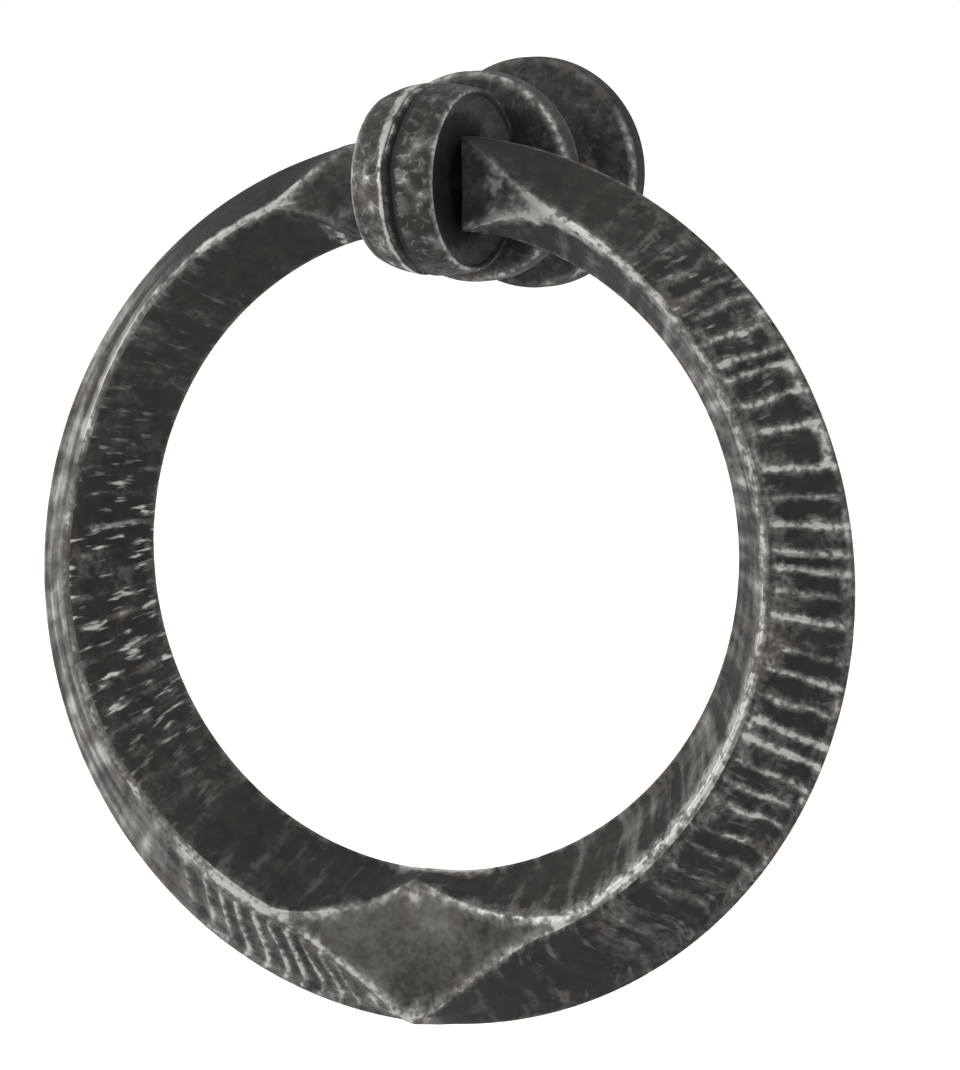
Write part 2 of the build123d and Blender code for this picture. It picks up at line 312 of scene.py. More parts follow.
def rough(kind, place):
    """Soft noise of a named kind, from -1 to 1, at a place in metres."""
    scale, seed = NOISES[kind]
    return noise.noise(Vector(place) / (scale * MM) + Vector((seed, seed * 1.7, seed * 0.3)))


def stretches_at(stretches, angle):
    """Sum of the amounts that hold at an angle; each fades past its spread."""
    return sum(amount * math.exp(-(((angle - middle) / spread) ** 4)) for amount, middle, spread in stretches)


class Bar:
    """Shape of the ring's bar. A place along it is a length from the ring's bottom, positive towards +X."""

    bottom_peak = -0.9 * MM  # place along the bar where the bottom flat is widest
    left_end_full = 3.4 * MM  # length over which the flat at the left end is widest
    narrow_flat = 0.06  # least share of a face that the flat takes away
    widest_flat = 0.94  # most share of a face that it takes away
    # The flats' outlines: most reach of the bottom flat, and the powers that curve the bottom and end flats
    flat_shapes = {
        "left": {"inner": (0.92, 1.3, 1.2), "outer": (1.0, 2.0, 1.2)},
        "right": {"inner": (0.92, 1.3, 1.4), "outer": (1.0, 2.6, 2.2)},
    }

    def __init__(self, sizes, forward):
        self.sizes = sizes
        self.forward = forward
        top_width = sizes.above_pivot + sizes.below_pivot
        self.outer_radius = sizes.outer_radius
        self.inner_radius = sizes.outer_radius - (top_width + sizes.bottom_width) / 2
        self.outer_centre = sizes.above_pivot - self.outer_radius
        self.inner_centre = -sizes.below_pivot - self.inner_radius
        self.outer_end = math.pi - math.asin(sizes.end_half_gap / self.outer_radius)
        self.inner_end = math.pi - math.asin(sizes.end_half_gap / self.inner_radius)
        middle_radius = (self.outer_radius + self.inner_radius) / 2
        self.half_length = middle_radius * (self.outer_end + self.inner_end) / 2

    def angle(self, along):
        """Angle in degrees from the ring's bottom at a place along the bar."""
        return math.degrees(along / self.half_length * self.outer_end)

    def along(self, angle):
        """Place along the bar at an angle in degrees from the ring's bottom."""
        return math.radians(angle) / self.outer_end * self.half_length

    def bottom_flat(self, along):
        """1 at the peak of the bottom flat, 0 where it ends."""
        left = along < self.bottom_peak
        reach = self.sizes.bottom_flat_left if left else self.sizes.bottom_flat_right
        return max(0.0, 1 - abs(along - self.bottom_peak) / reach)

    def flat(self, along):
        """Shares of the inner and the outer face that the front flat takes away."""
        bottom = self.bottom_flat(along)
        left = along < 0
        full = self.left_end_full if left else 0.0
        from_end = self.half_length - abs(along)
        end = max(0.0, min(1.0, (self.sizes.end_flat - from_end) / (self.sizes.end_flat - full)))
        shapes = self.flat_shapes["left" if left else "right"]
        reaches = []
        for face in FACES:
            most, bottom_power, end_power = shapes[face]
            reach = max(most * bottom**bottom_power, end**end_power)
            reaches.append(min(self.widest_flat, max(self.narrow_flat, reach)))
        return reaches

    def half_depth(self, along):
        """Half the bar's depth from front to back."""
        sizes = self.sizes
        full = smooth_step((self.half_length - abs(along)) / sizes.end_taper)
        depth = sizes.end_depth + (sizes.sides_depth - sizes.end_depth) * full
        depth += (sizes.bottom_depth - sizes.sides_depth) * smooth_step(self.bottom_flat(along))
        return depth / 2

    def edges(self, along):
        """Points of the ring's inner and outer edge at one place."""
        turn = along / self.half_length
        points = []
        for radius, centre, end in (
            (self.inner_radius, self.inner_centre, self.inner_end),
            (self.outer_radius, self.outer_centre, self.outer_end),
        ):
            x = radius * math.sin(turn * end)
            z = centre - radius * math.cos(turn * end)
            points.append(Vector((x, -self.forward, z)))
        return points


def ridge_places(bar):
    """Places and wear of the ridges: those listed, and others at about the usual pitch between."""
    chance = random.Random(bar.sizes.hammer_seed)
    fixed = sorted((bar.along(angle), worn) for angle, worn in RIDGES)
    fixed = [(-bar.half_length, END_RIDGE_WEAR)] + fixed + [(bar.half_length, END_RIDGE_WEAR)]
    ridges = []
    for (start, worn), (end, _) in zip(fixed, fixed[1:]):
        blows = max(1, round((end - start) / bar.sizes.blow_pitch))
        pitch = (end - start) / blows
        ridges.append((start, worn))
        for number in range(1, blows):
            place = start + (number + chance.uniform(-PITCH_CHANCE, PITCH_CHANCE)) * pitch
            ridges.append((place, chance.uniform(*OTHER_RIDGE_WEAR)))
    ridges.append(fixed[-1])
    return ridges


class Blow:
    """One hammer blow across the bar: its ridges at both ends, and its depth and reach on each face."""

    depths = (0.5, 1.15)  # least and most depth, as shares of the usual one
    edge_stops = (0.03, 0.16)  # least and most place across a face where the dent starts
    arris_stops = (0.86, 0.98)  # least and most place across a face where it stops

    def __init__(self, start, end, start_worn, end_worn, chance):
        self.start = start
        self.gap = end - start
        self.worn = (start_worn, end_worn)
        self.depth = {face: chance.uniform(*self.depths) for face in FACES}
        self.edge_stop = {face: chance.uniform(*self.edge_stops) for face in FACES}
        self.arris_stop = {face: chance.uniform(*self.arris_stops) for face in FACES}


def hammer_stations(bar):
    """Stations along the bar, each with its blow and its share of the way to that blow's end."""
    chance = random.Random(bar.sizes.hammer_seed + 1)
    ridges = ridge_places(bar)
    stations = []
    for (start, start_worn), (end, end_worn) in zip(ridges, ridges[1:]):
        blow = Blow(start, end, start_worn, end_worn, chance)
        stations += [(blow, step) for step in BLOW_STEPS]
    stations.append((blow, 1.0))
    return stations


def section_plan():
    """Vertices round the bar's section, from the inner edge over the front: side, face, place across."""
    plan = [(-1, "inner", step) for step in FACE_STEPS]
    plan += [(-1, "flat", step) for step in FLAT_STEPS]
    plan += [(-1, "outer", step) for step in FACE_STEPS[::-1]]
    plan += [(1, "outer", step) for step in FACE_STEPS[1:]]
    plan += [(1, "flat", step) for step in FLAT_STEPS[::-1]]
    plan += [(1, "inner", step) for step in FACE_STEPS[:0:-1]]
    return plan


class Corner:
    """One vertex of the bar: where it lies on the smooth bar, and how it is dented and worn there."""

    def __init__(self, bar, station, planned):
        self.bar = bar
        self.blow, self.step = station
        self.side, self.face, self.across = planned
        self.along = self.blow.start + self.step * self.blow.gap
        self.angle = bar.angle(self.along)
        self.ends_fade = rise(bar.half_length - abs(self.along), 0.0, BLOWS_FADE)
        if self.face != "flat":
            self.stray()
        self.from_end = bar.half_length - abs(self.along)
        self.inner_point, self.outer_point = bar.edges(self.along)
        self.width = (self.outer_point - self.inner_point).length
        self.depth = bar.half_depth(self.along)
        self.find_place()
        self.spot = self.point(self.depth * (1 if self.face == "flat" else self.across))
        self.ragged = 1 + 0.8 * rough("ragged", self.spot)
        self.blotch = rough("blotch", self.spot)
        # How strongly the arris's wear is kept to its lit side, with painted shade on the other side
        self.lit_side_only = stretches_at(ARRIS_STRETCHES["lit side only"], self.angle)
        nick = 0.5 + 0.5 * rough("nicks", self.unrolled())
        self.arris_loss = ARRIS_LOSS + ARRIS_NICKS * nick * nick
        self.shine = self.arris_shine()

    def stretch(self, name):
        """Amount of something that holds over stretches of this face."""
        return stretches_at(FACE_STRETCHES[self.face][name], self.angle)

    def unrolled(self, lengthwise=1.0, across=0.0, side=1.0):
        """Place on the unrolled bar, for noise that follows it."""
        return self.along * lengthwise, self.across * across * MM, self.side * side * MM

    def stray(self):
        """Moves the vertex along the bar, by the slant of the blows and by chance."""
        lean = self.stretch("slant") * MM * (self.across - 0.5)
        wander = RIDGE_STRAY * rough("stray, " + self.face, self.unrolled(across=5))
        within = smooth_step(3 * self.across) * smooth_step(3 * (1 - self.across) + 0.3)
        along = self.along + (lean + wander) * self.ends_fade * within
        self.along = max(-self.bar.half_length, min(self.bar.half_length, along))

    def find_place(self):
        """Finds the flat's inner and outer edge and this vertex, all as shares of the bar's width."""
        inner_reach, outer_reach = self.bar.flat(self.along)
        middle = 0.5 + stretches_at(ARRIS_STRETCHES["shift"], self.angle)
        self.flat_inner = middle * (1 - inner_reach)
        self.flat_outer = middle + (1 - middle) * outer_reach
        if self.face == "flat":
            self.place = self.flat_inner + (self.flat_outer - self.flat_inner) * self.across
        elif self.face == "outer":
            self.place = 1 - (1 - self.flat_outer) * self.across
        else:
            self.place = self.flat_inner * self.across

    def point(self, offset):
        """This vertex's point, so far out from the middle of the bar towards its side."""
        point = self.inner_point + (self.outer_point - self.inner_point) * self.place
        point.y += self.side * offset
        return point

    def arris_shine(self):
        """How bright the arris is rubbed here, less so by the cut ends."""
        worn = stretches_at(ARRIS_STRETCHES["worn"], self.angle)
        shine = 0.6 + worn + 0.45 * rough("shine", self.unrolled())
        shine *= 0.25 + 0.75 * rise(self.from_end, 1.4 * MM, 1.2 * MM)
        on_inner_side = self.face == "inner" or (self.face == "flat" and self.across < 0.4)
        if self.along < 0 and on_inner_side:
            shine *= 0.3 + 0.7 * rise(self.from_end, 8 * MM, 4 * MM)
        return shine

    def shape(self):
        """Point and marks of this vertex."""
        marks = dict.fromkeys(MARKS, 0.0)
        offset = self.shape_flat(marks) if self.face == "flat" else self.shape_face(marks)
        if self.side < 0:
            marks["wear"] = max(marks["wear"], self.worn_spots())
        return self.point(offset), marks

    def shape_flat(self, marks):
        """Fills in the marks on the flat, a narrow facet where no blow widened it, and returns the offset."""
        flat_width = (self.flat_outer - self.flat_inner) * self.width
        from_edge = min(self.across, 1 - self.across) * flat_width
        uneven = rough("hollow flat", (self.along, self.across * flat_width, self.side * MM))
        offset = self.depth - self.arris_loss * near(from_edge, 0.5 * MM)
        offset -= smooth_step(from_edge / (2.5 * MM)) * (0.1 + 0.08 * uneven) * MM
        edge_wear = self.shine * (0.65 + 0.3 * near(from_edge, 0.6 * MM)) * self.ragged
        narrow = 1 - rise(flat_width, 0.9 * MM, 0.9 * MM)
        facet_wear = narrow * (0.4 + 0.7 * self.shine) * (0.7 + 0.3 * self.ragged)
        # Painted shade: the facet's wear is held back towards the side of the arris turned away from the left
        # key lamp
        to_shaded_side = 1 - self.across if self.along > 0 else self.across
        facet_wear *= 1 - 0.6 * self.lit_side_only * (1 - smooth_step(1.4 * to_shaded_side))
        marks["wear"] = max(edge_wear * (1 - smooth_step(from_edge / (1.3 * MM))), facet_wear)
        at_bottom = smooth_step(2 * self.bar.bottom_flat(self.along))
        marks["pale"] = 0.3 + 0.5 * at_bottom + 0.3 * self.blotch + 0.3 * rough("shade of a flat", self.spot)
        return offset

    def shape_face(self, marks):
        """Fills in the marks on the inner or outer face, rounds its edge and returns the offset."""
        outer = self.face == "outer"
        share_of_width = 1 - self.flat_outer if outer else self.flat_inner
        face_width = math.hypot(share_of_width * self.width, self.depth)
        to_edge = self.across * face_width
        to_arris = (1 - self.across) * face_width
        dent = self.dent()
        offset = self.depth * self.across - self.bar.sizes.dent_depth * dent * self.ends_fade
        offset -= self.arris_loss * near(to_arris, 0.25 * MM)
        pull = EDGE_ROUNDING / self.width * near(to_edge, 0.3 * MM)
        self.place += -pull if outer else pull

        # Painted shade: on the side of the arris turned away from the left key lamp, the wear near the arris
        # and the pale strip beside it are mostly held back
        shaded_side = self.lit_side_only if outer == (self.along > 0) else 0.0
        ridge = self.ridge_wear() * (1 - 0.6 * shaded_side * near(to_arris, 0.9 * MM))
        kept = 1 - 0.85 * shaded_side
        edge = 0.55 * near(to_edge, 0.4 * MM) * self.ragged
        edge = max(edge, self.stretch("worn edge") * near(to_edge, 1.4 * MM))
        wide = stretches_at(ARRIS_STRETCHES["wide"], self.angle)
        marks["wear"] = max(ridge, self.arris_wear(to_arris, kept), edge)
        marks["pale"] = self.stretch("pale") + 1.1 * kept * wide * near(to_arris, 2.6 * MM) * self.ragged
        marks["dent"] = dent + self.stretch("dark")
        marks["dash"] = self.stretch("dashes")
        marks["hatch"] = self.stretch("hatching")
        return offset

    def dent(self):
        """Depth of the hammer's dent here, where 1 is a hard blow's."""
        low = self.blow.edge_stop[self.face]
        high = self.blow.arris_stop[self.face]
        bowl = 1 - abs(2 * self.step - 1) ** 3
        strength = 0.15 + self.stretch("hard blows")
        profile = smooth_step((self.across - low + 0.06) / 0.14)
        profile *= smooth_step((high + 0.02 - self.across) / 0.12)
        uneven = 0.85 + 0.4 * rough("uneven blow", self.unrolled(across=6, side=3))
        return bowl * strength * self.blow.depth[self.face] * profile * uneven

    def ridge_wear(self):
        """Wear of the ridges at both ends of the blow and of the ground that no dent reaches."""
        if self.face == "outer":
            broken = 1.05 + 0.7 * rough("broken ridge, outer", self.unrolled(0.3, 6))
            ground = 0.42
        else:
            broken = 1.25 * smooth_step(0.5 + 1.9 * rough("broken ridge, inner", self.unrolled(0.5, 6)))
            ground = 0.1
        ridge = 0.0
        for share_of_blow, worn in zip((self.step, 1 - self.step), self.blow.worn):
            distance = share_of_blow * self.blow.gap
            ridge = max(ridge, worn * (0.7 * near(distance, 0.42 * MM) + 0.25 * near(distance, 1.0 * MM)))
        low = self.blow.edge_stop[self.face]
        high = self.blow.arris_stop[self.face]
        from_middle = abs(2 * self.step - 1) ** 4 + abs(2 * (self.across - low) / (high - low) - 1) ** 4
        ground *= rise(from_middle, 0.35, 0.6) * (1 + 1.1 * self.blotch)
        scattered = 0.5 * max(0.0, rough("scattered wear", self.unrolled(across=6, side=4)))
        wear = (max(ridge * broken, ground) + scattered) * self.stretch("worn ridges")
        return wear * smooth_step(self.across * 10 + 0.3)

    def arris_wear(self, to_arris, kept):
        """Wear of the arris on this face, held back by painted shade on the side turned away from the left
        key lamp. To the right, its inner side, which faces that lamp, gets a broad even bright strip: a
        painted highlight on top of the wear.
        """
        line = 0.6 * near(to_arris, 0.35 * MM) + 0.4 * near(to_arris, 1.0 * MM)
        wear = self.shine * line * self.ragged * kept
        # Painted highlight: a broad even bright strip on the inner side to the right, which faces the left
        # key lamp
        if self.along > 0 and self.face == "inner":
            lit_strip = 0.25 * near(to_arris, 0.5 * MM) + 0.62 * (1 - rise(to_arris, 0.6 * MM, 0.8 * MM))
            steady = 0.85 + 0.75 * stretches_at(ARRIS_STRETCHES["worn"], self.angle) + 0.25 * self.shine
            wear = max(wear, self.lit_side_only * steady * lit_strip * (0.8 + 0.2 * self.ragged))
        return wear

    def worn_spots(self):
        """Wear of the listed spots, which are on the ring's front."""
        wear = 0.0
        speckle = smooth_step(0.45 + 2.4 * rough("speckle", self.spot))
        for end, from_end, share_across, reach, amount in END_SPOTS:
            if end * self.along > 0:
                distance = math.hypot(self.from_end - from_end * MM, (self.place - share_across) * self.width)
                wear = max(wear, amount * near(distance, reach * MM) * (0.2 + 1.1 * speckle))
        if abs(self.along) < BOTTOM_SPOTS_WITHIN:
            for along, share_across, reach, amount in BOTTOM_SPOTS:
                distance = math.hypot(self.along - along * MM, (self.place - share_across) * self.width)
                wear = max(wear, amount * near(distance, reach * MM) * (0.4 + 0.6 * self.ragged))
        return wear


def grow_bar(mesh, stations, plan):
    """Spins a small circle into a tube with one vertex for each corner of each station.

    The turn is short of a whole one, so that the tube's two ends stay apart.
    """
    count = len(plan)
    turn = 6.0
    small = 0.1
    circle = bmesh.ops.create_circle(mesh, cap_ends=False, segments=count, radius=small)
    bmesh.ops.rotate(mesh, verts=circle["verts"], cent=(0, 0, 0), matrix=Matrix.Rotation(math.pi / 2, 3, "X"))
    bmesh.ops.translate(mesh, verts=circle["verts"], vec=(1, 0, 0))
    bmesh.ops.spin(
        mesh, geom=mesh.verts[:] + mesh.edges[:], cent=(0, 0, 0), axis=(0, 0, 1), dvec=(0, 0, 0),
        angle=turn, steps=len(stations) - 1, use_merge=False, use_normal_flip=False, use_duplicate=False,
    )
    found = {}
    for vertex in mesh.verts:
        x, y, z = vertex.co
        number = round((math.atan2(y, x) % (2 * math.pi)) / turn * (len(stations) - 1))
        corner = round(math.atan2(z, math.hypot(x, y) - 1) / (2 * math.pi) * count) % count
        found[vertex] = (min(number, len(stations) - 1), corner)
    return found


def across_map(side, face, step):
    """Place across the bar's map, in millimetres, with the front first and the back as its mirror image."""
    all_round = 4 * MAP_FACE + 2 * MAP_FLAT
    start, spread = {
        "inner": (0, MAP_FACE),
        "flat": (MAP_FACE, MAP_FLAT),
        "outer": (all_round / 2, -MAP_FACE),
    }[face]
    place = start + spread * step
    return place if side < 0 else all_round - place


def map_bar(shape, layer, found, stations, plan):
    """Unrolls the bar on to a map of its own, for strokes that follow it."""
    for face in shape.faces:
        corners = [found[loop.vert][1] for loop in face.loops]
        wraps = max(corners) - min(corners) > len(plan) / 2
        for loop in face.loops:
            number, corner = found[loop.vert]
            blow, step = stations[number]
            side, name, place = plan[corner]
            across = across_map(1 if wraps and corner == 0 else side, name, place)
            along = (blow.start + step * blow.gap) / MM
            loop[layer].uv = (along * MAP_SCALE, across * MAP_SCALE)


def close_bar_ends(mesh, bar, forward):
    """Fills both cut ends and draws a round tenon out of each."""
    sizes = bar.sizes
    open_edges = [edge for edge in mesh.edges if edge.is_boundary]
    caps = bmesh.ops.edgeloop_fill(mesh, edges=open_edges, mat_nr=0, use_smooth=False)["faces"]
    for cap in caps:
        side = 1 if cap.calc_center_median().x > 0 else -1
        bmesh.ops.inset_individual(mesh, faces=[cap], thickness=0.1 * MM, depth=0.0, use_even_offset=True)
        for vertex in cap.verts:
            around = math.atan2(vertex.co.z, vertex.co.y + forward)
            vertex.co.y = -forward + sizes.tenon_radius * math.cos(around)
            vertex.co.z = sizes.tenon_radius * math.sin(around)
            vertex.co.x = side * sizes.end_half_gap
        tip = sizes.tenon_half_gap
        for reach, narrowed in ((tip + TENON_CHAMFER, 1.0), (tip, TENON_TIP)):
            drawn = bmesh.ops.extrude_discrete_faces(mesh, faces=[cap], use_normal_flip=False)
            cap = drawn["faces"][0]
            for vertex in cap.verts:
                vertex.co.x = side * reach
            bmesh.ops.scale(
                mesh, verts=cap.verts[:], vec=(1, narrowed, narrowed),
                space=Matrix.Translation((0, forward, 0)),
            )


def add_mark_layers(shape):
    """Adds a layer for each mark and returns the layers by their marks."""
    for mark in MARKS:
        shape.verts.layers.float.new(mark)
    return {mark: shape.verts.layers.float[mark] for mark in MARKS}


def set_marks(vertex, layers, marks):
    """Keeps the marks of one vertex."""
    for mark, layer in layers.items():
        vertex[layer] = marks[mark]


def link_piece(name, shape, mesh):
    """Turns a bmesh into an object of its own with smooth shading up to a sharp angle."""
    shape.to_mesh(mesh)
    shape.free()
    mesh.shade_smooth()
    mesh.set_sharp_from_angle(angle=math.radians(SHARP_ANGLE))
    piece = bpy.data.objects.new(name, mesh)
    bpy.context.scene.collection.objects.link(piece)
    return piece


class RINGPULL_OT_ring(bpy.types.Operator):
    """Forge the ring: a square bar bent on edge, hammered across and worn bright at its ridges"""

    bl_idname = "ring_pull.ring"
    bl_label = "Ring"

    def execute(self, context):
        forward = pivot_forward()
        bar = Bar(context.scene.ring_pull_ring, forward)
        stations = hammer_stations(bar)
        plan = section_plan()
        shape = bmesh.new()
        layers = add_mark_layers(shape)
        map_layer = shape.loops.layers.uv.new("bar")
        found = grow_bar(shape, stations, plan)
        for vertex, (number, corner) in found.items():
            vertex.co, marks = Corner(bar, stations[number], plan[corner]).shape()
            set_marks(vertex, layers, marks)
        map_bar(shape, map_layer, found, stations, plan)
        close_bar_ends(shape, bar, forward)
        # The cut ends and the tenons get no wear and a dark painted shade
        for vertex in shape.verts:
            if vertex not in found:
                vertex[layers["wear"]] = 0.0
                vertex[layers["dent"]] = CUT_END_SHADE
        bmesh.ops.recalc_face_normals(shape, faces=shape.faces[:])
        piece = link_piece("hammered_ring", shape, bpy.data.meshes.new("hammered_ring"))
        piece.data.materials.append(ring_iron(context.scene.ring_pull_finish))
        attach(piece, "ring")
        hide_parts("ring")
        return {"FINISHED"}


def pivot_forward():
    """Distance of the ring's pivot in front of the door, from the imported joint."""
    return -frame["joints"][0]["pos_m"][1]


class Post:
    """Lengths of the knob post that follow from its sizes."""

    def __init__(self, sizes, forward):
        self.sizes = sizes
        self.collar_back = sizes.foot_thickness + sizes.neck_length
        self.collar_front = self.collar_back + sizes.collar_thickness
        self.head_middle = forward + sizes.head_forward
        self.left_rim = sizes.left_mouth + sizes.left_wall
        self.right_rim = sizes.right_mouth + sizes.right_wall

    def rim(self, x):
        """Radius of the head's rim on one side."""
        return self.left_rim if x < 0 else self.right_rim

    def in_head(self, y, z):
        """A place in the head's round section, with its oval taken out, and its distance from the axis."""
        head_y = (y + self.head_middle) / self.sizes.head_oval
        return head_y, math.hypot(head_y, z)


def lathe(shape, outline, axis, steps, roundings=()):
    """Spins an outline about an axis through the origin. Corners are rounded and long lines cut up first."""
    corners = [shape.verts.new(point) for point in outline]
    for pair in zip(corners, corners[1:]):
        shape.edges.new(pair)
    for numbers, radius, segments in roundings:
        bmesh.ops.bevel(
            shape, geom=[corners[number] for number in numbers], offset=radius, offset_type="OFFSET",
            segments=segments, profile=0.5, affect="VERTICES", material=-1,
        )
    for edge in shape.edges[:]:
        cuts = int(edge.calc_length() / PROFILE_CELL)
        if cuts:
            bmesh.ops.subdivide_edges(shape, edges=[edge], cuts=cuts)
    bmesh.ops.spin(
        shape, geom=shape.verts[:] + shape.edges[:], cent=(0, 0, 0), axis=axis, dvec=(0, 0, 0),
        angle=2 * math.pi, steps=steps, use_merge=True, use_normal_flip=False, use_duplicate=False,
    )
    bmesh.ops.remove_doubles(shape, verts=shape.verts[:], dist=0.001 * MM)
    bmesh.ops.recalc_face_normals(shape, faces=shape.faces[:])


def shaft_shape(post):
    """Foot, neck and collar with the threaded screw hole."""
    sizes = post.sizes
    hole = sizes.hole_radius
    bottom = -sizes.hole_depth
    rows = round((sizes.hole_depth - 0.6 * MM) / sizes.thread_pitch * THREAD_ROWS)
    outline = [(0, bottom - DRILL_POINT, 0), (hole, bottom, 0)]
    for row in range(rows + 1):
        outline.append((hole, bottom + 0.1 * MM + row * sizes.thread_pitch / THREAD_ROWS, 0))
    mouth = len(outline)
    outline += [
        (hole + COUNTERSINK, 0, 0),
        (sizes.foot_radius, 0, 0),
        (sizes.foot_radius, -sizes.foot_thickness, 0),
        (sizes.neck_radius, -sizes.foot_thickness, 0),
        (sizes.neck_radius, -post.collar_back, 0),
        (sizes.collar_radius, -post.collar_back, 0),
        (sizes.collar_radius, -post.collar_front, 0),
        (0, -post.collar_front, 0),
    ]
    shape = bmesh.new()
    lathe(
        shape, outline, (0, 1, 0), SHAFT_STEPS,
        roundings=(
            ((mouth + 1,), 0.15 * MM, 2),
            ((mouth + 2, mouth + 5, mouth + 6), sizes.edge_round, 4),
            ((mouth + 3, mouth + 4), sizes.neck_root, 4),
        ),
    )
    cut_thread(shape, sizes)
    return shape


def cut_thread(shape, sizes):
    """Moves the hole's wall outwards along a helix."""
    for vertex in shape.verts:
        x, y, z = vertex.co
        radius = math.hypot(x, z)
        on_wall = abs(radius - sizes.hole_radius) < 0.01 * MM
        if on_wall and -sizes.hole_depth + 0.3 * MM < y < -0.4 * MM:
            turns = y / sizes.thread_pitch + math.atan2(z, x) / (2 * math.pi)
            wave = abs(2 * (turns % 1.0) - 1)
            grown = 1 + sizes.thread_depth * wave / radius
            vertex.co.x *= grown
            vertex.co.z *= grown


def head_shape(post):
    """The barrel across the post, with a groove round it and a dished mouth at each end."""
    sizes = post.sizes
    half = sizes.head_half_length
    floor = sizes.floor_half_gap
    knee = floor + KNEE_PLACE * (half - floor)
    top = max(post.left_rim, post.right_rim) + sizes.head_bulge
    groove = sizes.groove_width / 2
    barrel_steps = 24
    places = [-half + 2 * half * number / barrel_steps for number in range(1, barrel_steps)]
    barrel = [(x, 0, top - (top - post.rim(x)) * (x / half) ** 2) for x in places if abs(x) > groove]
    left_part = [point for point in barrel if point[0] < 0]
    right_part = [point for point in barrel if point[0] > 0]
    outline = [
        (-floor, 0, 0), (-floor, 0, DISH_FLOOR * sizes.left_mouth), (-knee, 0, DISH_KNEE * sizes.left_mouth),
        (-half, 0, sizes.left_mouth), (-half, 0, post.left_rim),
    ]
    outline += left_part
    groove_start = len(outline)
    outline += [
        (-groove, 0, top), (-groove, 0, top - sizes.groove_depth / 2), (0, 0, top - sizes.groove_depth),
        (groove, 0, top - sizes.groove_depth / 2), (groove, 0, top),
    ]
    outline += right_part
    right_start = len(outline)
    outline += [
        (half, 0, post.right_rim), (half, 0, sizes.right_mouth), (knee, 0, DISH_KNEE * sizes.right_mouth),
        (floor, 0, DISH_FLOOR * sizes.right_mouth), (floor, 0, 0),
    ]
    shape = bmesh.new()
    lathe(
        shape, outline, (1, 0, 0), HEAD_STEPS,
        roundings=(
            ((3, 4, right_start, right_start + 1), 0.4 * min(sizes.left_wall, sizes.right_wall), 3),
            ((groove_start, groove_start + 4), 0.12 * MM, 2),
            ((1, 2, right_start + 2, right_start + 3), 0.7 * MM, 3),
        ),
    )
    for vertex in shape.verts:
        x, y, z = vertex.co
        radius = math.hypot(y, z)
        outside = smooth_step((radius - post.rim(x) + 0.3 * MM) / (0.2 * MM))
        outside *= 1 - (abs(x) / half) ** 4
        if outside > 0:
            uneven = CASTING_UNEVEN * (1 + rough("uneven casting", (x, y, z))) * outside
            kept = 1 - uneven / radius
            vertex.co = (x + groove_wander(y, z) * outside, y * kept, z * kept)
    bmesh.ops.scale(shape, verts=shape.verts[:], vec=(1, sizes.head_oval, 1))
    bmesh.ops.translate(shape, verts=shape.verts[:], vec=(0, -post.head_middle, 0))
    return shape


def groove_wander(y, z):
    """How far the hand-cut groove strays sideways, by its direction round the head."""
    around = math.atan2(z, y)
    return GROOVE_STRAY * rough("groove", (0, 6 * MM * math.cos(around), 6 * MM * math.sin(around)))


def bore_shape(sizes, forward):
    """The cylinder that cuts the cross bore."""
    bore = bmesh.new()
    bmesh.ops.create_cone(
        bore, cap_ends=True, cap_tris=False, segments=BORE_STEPS, radius1=sizes.bore_radius,
        radius2=sizes.bore_radius, depth=2 * sizes.head_half_length,
    )
    bmesh.ops.rotate(bore, verts=bore.verts[:], cent=(0, 0, 0), matrix=Matrix.Rotation(math.pi / 2, 3, "Y"))
    bmesh.ops.translate(bore, verts=bore.verts[:], vec=(0, -forward, 0))
    return bore


def helper_object(name, shape):
    """Turns a bmesh into an object with no material."""
    mesh = bpy.data.meshes.new(name)
    shape.to_mesh(mesh)
    shape.free()
    helper = bpy.data.objects.new(name, mesh)
    bpy.context.scene.collection.objects.link(helper)
    return helper


def shaft_marks(post, place):
    """Marks of foot, neck and collar: edges rubbed bright, most of all low on the right, painted shade round
    the neck and on the collar's face beside the head, and a darker side and back of the foot.
    """
    x, y, z = place
    sizes = post.sizes
    around = math.hypot(x, z)
    blotch = rough("cast blotch", place)
    ragged = 1 + 0.8 * blotch
    uneven = 1 + 0.4 * blotch
    to_right = smooth_step(x / around + 0.2) if around > 0 else 0.0
    low_down = smooth_step(1.3 - z / (5 * MM))
    from_foot_edge = math.hypot(around - sizes.foot_radius + 0.25 * MM, y + sizes.foot_thickness)
    from_front_edge = math.hypot(around - sizes.collar_radius + 0.1 * MM, y + post.collar_front)
    from_back_edge = math.hypot(around - sizes.collar_radius, y + post.collar_back)
    marks = dict.fromkeys(MARKS, 0.0)
    marks["wear"] = max(
        (0.12 + 0.8 * to_right * low_down) * ragged * near(from_foot_edge, 0.55 * MM),
        (0.55 + 0.3 * to_right) * uneven * near(from_front_edge, 0.65 * MM),
        0.7 * uneven * near(from_back_edge, 0.5 * MM),
    )
    marks["pale"] = 0.4 * ragged
    marks["dash"] = 0.15
    # Painted shade round the neck, where it meets the foot and the collar
    marks["dent"] = 0.6 * near(around - sizes.neck_radius, 2.5 * MM)
    # The foot's side and its back are made darker
    if around > sizes.foot_radius - 0.1 * MM and y > 0.3 * MM - sizes.foot_thickness:
        marks["dent"] = 1.5
    # Painted shade on the collar's front face next to the head
    if abs(y + post.collar_front) < 0.3 * MM:
        from_axis = post.in_head(y, z)[1]
        beyond_length = max(abs(x) - sizes.head_half_length, 0.0)
        from_head = math.hypot(beyond_length, max(from_axis - post.right_rim, 0.0))
        marks["dent"] = max(marks["dent"], 1.8 * near(from_head, 2.2 * MM))
    return marks


